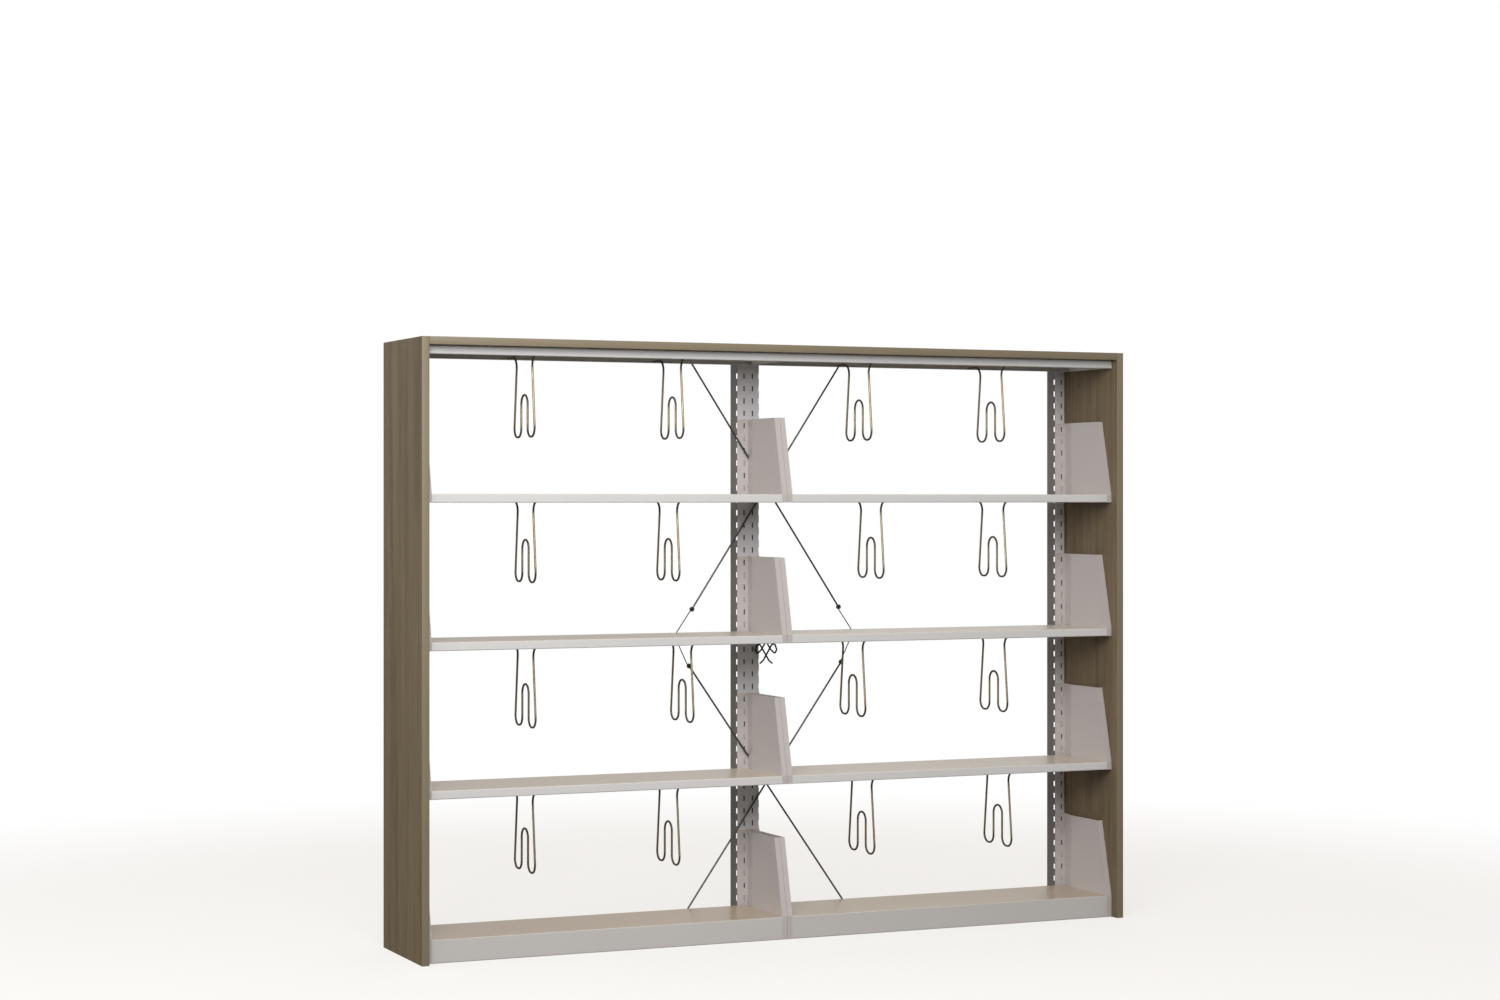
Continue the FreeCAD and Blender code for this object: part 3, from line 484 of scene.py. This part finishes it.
def yellow_zinc(name, settings):
    """Yellow-passivated zinc plating: rosy and olive clouds, and a painted dark reflection where the wire is
    bent.
    """
    tree = Tree(name)
    cloud = tree.noise(ZINC_CLOUD, detail=3.0)
    fine = tree.noise(ZINC_GRAIN, detail=2.0)
    bend = tree.node("ShaderNodeAttribute", {"attribute_name": BEND_LAYER}, output="Fac")
    straight = tree.blend(cloud.step_up(*ZINC_EDGE), settings.metal, settings.rosy)
    # Painted reflection: the bends are darkened here and made less metallic below.
    face = tree.blend((bend * (cloud * 0.6 + 0.55)).held(), straight, settings.bend)
    rough = settings.roughness + cloud.swing(0.14) + fine.swing(0.08)
    normal = tree.bump(fine, ZINC_DEPTH, 0.25)
    return tree.finish(Base_Color=face, Metallic=1.0 - bend * 0.7, Roughness=rough, Normal=normal)


def drawn_steel(name, tint, roughness):
    """Drawn or turned steel with faint marks along X."""
    tree = Tree(name)
    marks = tree.noise(STEEL_MARK, detail=2.0, stretch=drawn_out("X", MARK_DRAW))
    cloud = tree.noise(STEEL_CLOUD, detail=2.0)
    face = tree.blend((cloud * 0.9).held(), tint, shade(tint, 0.75))
    rough = roughness + marks.swing(0.2)
    normal = tree.bump(marks, MARK_DEPTH, 0.4)
    return tree.finish(Base_Color=face, Metallic=1.0, Roughness=rough, Normal=normal)


def coated_wire(name, tint):
    """Dull coated wire."""
    tree = Tree(name)
    lumps = tree.noise(COATING_LUMP, detail=2.0)
    face = tree.blend(lumps.step_up(*LUMP_EDGE), tint, shade(tint, 2.2))
    rough = 0.55 + lumps.swing(0.2)
    normal = tree.bump(lumps, LUMP_DEPTH, 0.35)
    return tree.finish(Base_Color=face, Roughness=rough, Normal=normal, Specular_IOR_Level=0.25)


def plain_grained(name, tint):
    """Moulded plastic or turned wood with a fine plain grain."""
    tree = Tree(name)
    grain = tree.noise(PLAIN_GRAIN, detail=2.0)
    face = tree.blend(grain, tint, shade(tint, 1.6))
    rough = 0.5 + grain.swing(0.15)
    normal = tree.bump(grain, PLAIN_DEPTH, 0.4)
    return tree.finish(Base_Color=face, Roughness=rough, Normal=normal)


# ---------------------------------------------------------------- mesh helpers
# Turn of one step of an arc, turn below which a run counts as straight, and below which an edge is smooth.
BEND_STEP = math.radians(6)
STRAIGHT = math.radians(2)
SMOOTH_BELOW = math.radians(40)
# Radius of the rounded edges of a band, as a share of its thickness.
BAND_ROUNDING = 0.8


def rounded_path(points, radii):
    """Points along straight runs and the arcs that round the inner corners."""
    path = [points[0]]
    for i, radius in enumerate(radii):
        before, corner, after = points[i], points[i + 1], points[i + 2]
        d_in = (corner - before).normalized()
        d_out = (after - corner).normalized()
        turn = d_in.angle(d_out)
        start = corner - d_in * radius * math.tan(turn / 2)
        toward = (d_out - d_in).normalized()
        centre = corner + toward * (radius / math.cos(turn / 2))
        axis = d_in.cross(d_out).normalized()
        count = max(4, math.ceil(turn / BEND_STEP))
        for k in range(count + 1):
            spin = Matrix.Rotation(turn * k / count, 3, axis)
            path.append(centre + spin @ (start - centre))
    path.append(points[-1])
    return path


def divided(path, longest):
    """The path with its long runs cut into equal steps."""
    made = [path[0]]
    for before, after in zip(path, path[1:]):
        count = max(1, math.ceil((after - before).length / longest))
        made += [before.lerp(after, k / count) for k in range(1, count + 1)]
    return made


def ring_frame(path):
    """A side direction at each point of a path, carried along without twist."""
    directions = []
    for i in range(len(path)):
        ahead = path[min(i + 1, len(path) - 1)] - path[max(i - 1, 0)]
        directions.append(ahead.normalized())
    side = directions[0].orthogonal().normalized()
    sides = []
    for direction in directions:
        side = (side - direction * side.dot(direction)).normalized()
        sides.append(side)
    return directions, sides


def bend_along(path):
    """How much of a bend a path has at each of its points, from 0 to 1, softened along it."""
    turns = [0.0] * len(path)
    for i in range(1, len(path) - 1):
        before = path[i] - path[i - 1]
        after = path[i + 1] - path[i]
        turns[i] = 1.0 if before.angle(after) > STRAIGHT else 0.0
    padded = [turns[0], *turns, turns[-1]]
    return [sum(padded[i:i + 3]) / 3 for i in range(len(turns))]


def tube(bm, path, diameter, sides=20, dome=4):
    """Round wire along a path with domed ends, added to a bmesh; its bends are marked."""
    directions, across = ring_frame(path)
    layer = bm.verts.layers.float.new(BEND_LAYER)
    bends = bend_along(path)
    radius = diameter / 2
    rings = []
    for k in range(dome, 0, -1):
        rings.append((path[0], directions[0], across[0], bends[0], k))
    for i in range(len(path)):
        rings.append((path[i], directions[i], across[i], bends[i], 0))
    for k in range(1, dome + 1):
        rings.append((path[-1], directions[-1], across[-1], bends[-1], -k))
    loops = []
    for centre, direction, side, bend, k in rings:
        lean = abs(k) / (dome + 0.5) * math.pi / 2
        shift = direction * (-math.copysign(1, k) * radius * math.sin(lean) if k else 0.0)
        flat = radius * math.cos(lean)
        up = direction.cross(side)
        spots = []
        for j in range(sides):
            angle = 2 * math.pi * j / sides
            spot = bm.verts.new(centre + shift + (side * math.cos(angle) + up * math.sin(angle)) * flat)
            spot[layer] = bend
            spots.append(spot)
        loops.append(spots)
    for first, second in zip(loops, loops[1:]):
        for j in range(sides):
            bm.faces.new((first[j], first[(j + 1) % sides], second[(j + 1) % sides], second[j]))
    bm.faces.new(list(reversed(loops[0])))
    bm.faces.new(loops[-1])


def mesh_object(name, bm, material):
    """A mesh object made from a bmesh, shaded smooth except at sharp edges."""
    bmesh.ops.recalc_face_normals(bm, faces=bm.faces)
    mesh = bpy.data.meshes.new(name)
    for edge in bm.edges:
        edge.smooth = len(edge.link_faces) == 2 and edge.calc_face_angle(0.0) < SMOOTH_BELOW
    for face in bm.faces:
        face.smooth = True
    bm.to_mesh(mesh)
    bm.free()
    made = bpy.data.objects.new(name, mesh)
    bpy.context.scene.collection.objects.link(made)
    mesh.materials.append(material)
    return made


def rounded_box(bm, low, high, radius, segments=3):
    """Box with rounded edges, added to a bmesh."""
    centre = (low + high) / 2
    size = high - low
    matrix = Matrix.Translation(centre) @ Matrix.Diagonal((size.x, size.y, size.z, 1.0))
    made = bmesh.ops.create_cube(bm, size=1.0, matrix=matrix)
    edges = {edge for vert in made["verts"] for edge in vert.link_edges}
    bmesh.ops.bevel(bm, geom=list(edges), offset=radius, segments=segments, profile=0.5, affect="EDGES")


def dress(names, material):
    """Gives CAD nodes a finish."""
    for name in names:
        node = frame["nodes"][name]
        if not node.material_slots:
            node.data.materials.append(material)
        for slot in node.material_slots:
            slot.material = material


def body_of_node(node):
    """The body that a CAD node belongs to."""
    for body, members in frame["record"]["behaviour"]["bodies"].items():
        if node in members:
            return body
    raise RuntimeError(node + " is in no body")


# ---------------------------------------------------------------- boards
class SHELVING_OT_boards(bpy.types.Operator):
    """Laminate on the boards and a band on each front edge, made pale as painted light"""

    bl_idname = "shelving.boards"
    bl_label = "Boards"

    def execute(self, context):
        settings = context.scene.shelving_boards
        upright_grain = laminate("laminate_upright_grain", "Z", settings)
        level_grain = laminate("laminate_level_grain", "X", settings)
        dress(("left_end_panel", "right_end_panel"), upright_grain)
        dress(("top_board",), level_grain)
        dress(("top_board_dowels",), plain_grained("beech_dowel", settings.dowel))
        bands = {"left_end_panel": "Z", "right_end_panel": "Z", "top_board": "X"}
        for node, along in bands.items():
            self.add_band(node, along, settings)
        return {"FINISHED"}

    def add_band(self, node, along, settings):
        """Thin band that stands a little in front of a board's front edge."""
        low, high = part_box(node)
        margin = settings.band_margin
        thickness = settings.band_thickness
        bm = bmesh.new()
        band_low = Vector((low.x + margin, low.y - thickness, low.z + margin))
        band_high = Vector((high.x - margin, low.y + thickness, high.z - margin))
        rounded_box(bm, band_low, band_high, thickness * BAND_ROUNDING)
        made = mesh_object(node + "_edge_band", bm, edge_band(node + "_band", along, settings))
        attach(made, FRAME_BODY)


# ---------------------------------------------------------------- steel
class SHELVING_OT_trays(bpy.types.Operator):
    """Powder coat on the shelf trays, canopies and base trays"""

    bl_idname = "shelving.trays"
    bl_label = "Trays"

    def execute(self, context):
        settings = context.scene.shelving_steel
        # Painted shade and reflection on the tops of the trays and base trays.
        dress(TRAYS, powder_coat("tray_coat", settings.tray, settings, settings.tray_top_shade_and_reflection))
        # Painted shade: the base trays have a darker coat than the other trays.
        dress(BASE_TRAYS, powder_coat("base_coat_painted_shade", settings.base, settings, settings.base_top_shade_and_reflection))
        return {"FINISHED"}


class SHELVING_OT_brackets(bpy.types.Operator):
    """Powder coat on the side brackets"""

    bl_idname = "shelving.brackets"
    bl_label = "Brackets"

    def execute(self, context):
        settings = context.scene.shelving_steel
        # Painted shade and reflection: the brackets' coat is darker and warmer than the trays'.
        dress(BRACKETS, powder_coat("bracket_coat_painted_shade", settings.bracket, settings))
        return {"FINISHED"}


class SHELVING_OT_uprights(bpy.types.Operator):
    """Coat on the slotted uprights, with painted shade on their side walls and inside"""

    bl_idname = "shelving.uprights"
    bl_label = "Uprights"

    def execute(self, context):
        settings = context.scene.shelving_steel
        slotted_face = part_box("centre_upright")[0].y
        # Painted shade on the side walls and inside of the uprights.
        dress(UPRIGHTS, painted_shade_upright_coat("upright_coat", settings, slotted_face))
        return {"FINISHED"}


# ---------------------------------------------------------------- book supports
class SHELVING_OT_supports(bpy.types.Operator):
    """Smooth bent wire for each sliding book support"""

    bl_idname = "shelving.supports"
    bl_label = "Book supports"

    def execute(self, context):
        settings = context.scene.shelving_wire
        plating = yellow_zinc("yellow_zinc", settings)
        for node in SUPPORTS:
            self.add_support(node, settings, plating)
        return {"FINISHED"}

    def add_support(self, node, settings, plating):
        """One wire: level ends that run on the tray's lips, two bottom loops, the inner loop between them."""
        low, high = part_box(node)
        x = (low.x + high.x) / 2
        wire = settings.wire
        run = high.z - wire / 2
        bottom = low.z + wire / 2
        crest = low.z + settings.drop_to_crest - wire / 2
        front = low.y + settings.front_reach
        rear = front + settings.bottom_width
        middle = (front + rear) / 2
        inner = settings.inner_width / 2
        lean = settings.leg_lean
        flat = [
            (low.y, run), (front + lean, run), (front, bottom),
            (middle - inner, bottom), (middle - inner, crest),
            (middle + inner, crest), (middle + inner, bottom),
            (rear, bottom), (rear - lean, run), (high.y, run),
        ]
        half = [settings.top_radius, settings.bottom_radius, settings.bottom_radius, settings.inner_radius]
        points = [Vector((x, y, z)) for y, z in flat]
        points[0].y += wire / 2
        points[-1].y -= wire / 2
        path = divided(rounded_path(points, half + half[::-1]), settings.ring_spacing)
        bm = bmesh.new()
        tube(bm, path, wire)
        made = mesh_object(node + "_wire", bm, plating)
        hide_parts(node)
        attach(made, body_of_node(node))


# ---------------------------------------------------------------- braces and clip
class SHELVING_OT_braces(bpy.types.Operator):
    """Steel rods, black link wires and the crossed clip"""

    bl_idname = "shelving.braces"
    bl_label = "Braces"

    def execute(self, context):
        settings = context.scene.shelving_braces
        dress(BRACE_RODS, drawn_steel("brace_steel", settings.rod, settings.roughness))
        dress(("brace_links", "crossed_wire_clip"), coated_wire("black_wire", settings.black))
        return {"FINISHED"}


class SHELVING_OT_fixings(bpy.types.Operator):
    """Bright screws and bolts, and black feet"""

    bl_idname = "shelving.fixings"
    bl_label = "Fixings"

    def execute(self, context):
        settings = context.scene.shelving_braces
        dress(FASTENERS, drawn_steel("bright_zinc", settings.zinc, settings.roughness))
        dress(("levelling_feet",), plain_grained("foot_plastic", settings.foot))
        return {"FINISHED"}


# ---------------------------------------------------------------- stage
SENSOR_WIDTH = 36.0
FAR_CLIP = 100.0
# Heights in the world, from 0 straight down to 1 straight up, between which the light from below ends.
BELOW_LEVEL = 0.45
ABOVE_LEVEL = 0.55


class SHELVING_OT_stage(bpy.types.Operator):
    """Pale floor, soft light and the camera"""

    bl_idname = "shelving.stage"
    bl_label = "Stage"

    def execute(self, context):
        settings = context.scene.shelving_stage
        self.add_floor(settings)
        self.add_world(context, settings)
        self.add_light("key_light", settings.key_place, settings.key_power, settings.light_size)
        self.add_light("side_light", settings.side_place, settings.side_power, settings.light_size)
        self.add_light("rear_light", settings.rear_place, settings.rear_power, settings.light_size)
        self.add_camera(context, settings)
        context.scene.view_settings.view_transform = "Standard"
        context.scene.view_settings.look = "None"
        return {"FINISHED"}

    def add_floor(self, settings):
        """Pale floor that takes soft shadows near the unit and is plain white further off."""
        tree = Tree("stage_floor")
        near = tree.surface(Base_Color=rgba(settings.floor), Roughness=0.95, Specular_IOR_Level=0.0,
                            Emission_Color=rgba(settings.floor_glow), Emission_Strength=1.0)
        white = tree.node("ShaderNodeEmission", {}, {"Color": rgba(settings.backdrop)})
        away = tree.node("ShaderNodeVectorMath", {"operation": "LENGTH"}, {0: tree.place()}, "Value")
        fade = away.step_up(settings.floor_near, settings.floor_far)
        mixed = tree.node("ShaderNodeMixShader", {}, {0: fade, 1: near, 2: white})
        tree.node("ShaderNodeOutputMaterial", {}, {"Surface": mixed})
        bm = bmesh.new()
        bmesh.ops.create_grid(bm, x_segments=1, y_segments=1, size=settings.floor_size / 2)
        floor = mesh_object("stage_floor", bm, tree.owner)
        floor.visible_diffuse = False
        floor.visible_glossy = False

    def add_world(self, context, settings):
        """Soft room light, warmer from above, with a plain backdrop for the camera."""
        world = bpy.data.worlds.new("soft_room")
        context.scene.world = world
        tree = Tree("soft_room", world)
        spot = tree.node("ShaderNodeTexCoord", output="Generated")
        height = tree.node("ShaderNodeSeparateXYZ", {}, {0: spot}, "Z")
        stops = ((BELOW_LEVEL, settings.from_floor), (ABOVE_LEVEL, settings.level), (1.0, settings.overhead))
        tint = tree.node("ShaderNodeValToRGB", {"stops": stops}, {0: height * 0.5 + 0.5})
        room = tree.node("ShaderNodeBackground", {}, {"Color": tint})
        seen = tree.node("ShaderNodeBackground", {}, {"Color": rgba(settings.backdrop)})
        from_camera = tree.node("ShaderNodeLightPath", output="Is Camera Ray")
        mixed = tree.node("ShaderNodeMixShader", {}, {0: from_camera, 1: room, 2: seen})
        tree.node("ShaderNodeOutputWorld", {}, {"Surface": mixed})

    def add_light(self, name, spot, watts, size):
        """Square soft light that looks at the middle of the unit."""
        data = bpy.data.lights.new(name, "AREA")
        data.shape = "SQUARE"
        data.size = size
        data.energy = watts
        lamp = bpy.data.objects.new(name, data)
        lamp.location = spot
        middle = (Vector(CAD_BOX[0]) + Vector(CAD_BOX[1])) / 2
        lamp.rotation_euler = (middle - Vector(spot)).to_track_quat("-Z", "Y").to_euler()
        lamp.visible_camera = False
        bpy.context.scene.collection.objects.link(lamp)

    def add_camera(self, context, settings):
        """Level camera turned to the right of straight ahead."""
        data = bpy.data.cameras.new("camera")
        data.sensor_width = SENSOR_WIDTH
        data.lens = settings.lens
        data.clip_end = FAR_CLIP
        camera = bpy.data.objects.new("camera", data)
        camera.location = settings.camera_place
        camera.rotation_euler = (math.radians(90.0), 0.0, -settings.camera_turn)
        context.scene.collection.objects.link(camera)
        context.scene.camera = camera


OPERATORS = (
    SHELVING_OT_stage, SHELVING_OT_boards, SHELVING_OT_trays, SHELVING_OT_brackets, SHELVING_OT_uprights,
    SHELVING_OT_supports, SHELVING_OT_braces, SHELVING_OT_fixings,
)


class SHELVING_PT_sidebar(bpy.types.Panel):
    """Buttons for each group of pieces"""

    bl_label = "Library Shelving"
    bl_space_type = "VIEW_3D"
    bl_region_type = "UI"
    bl_category = "Shelving"

    def draw(self, context):
        for operator in OPERATORS:
            self.layout.operator(operator.bl_idname)


def register():
    for group in SETTINGS.values():
        bpy.utils.register_class(group)
    for name, group in SETTINGS.items():
        setattr(bpy.types.Scene, name, bpy.props.PointerProperty(type=group))
    for operator in OPERATORS:
        bpy.utils.register_class(operator)
    bpy.utils.register_class(SHELVING_PT_sidebar)


def unregister():
    bpy.utils.unregister_class(SHELVING_PT_sidebar)
    for operator in reversed(OPERATORS):
        bpy.utils.unregister_class(operator)
    for name, group in SETTINGS.items():
        delattr(bpy.types.Scene, name)
        bpy.utils.unregister_class(group)


def main():
    """Dresses the unit in order."""
    register()
    bpy.ops.shelving.stage()
    bpy.ops.shelving.boards()
    bpy.ops.shelving.trays()
    bpy.ops.shelving.brackets()
    bpy.ops.shelving.uprights()
    bpy.ops.shelving.supports()
    bpy.ops.shelving.braces()
    bpy.ops.shelving.fixings()


if __name__ == "__main__":
    main()
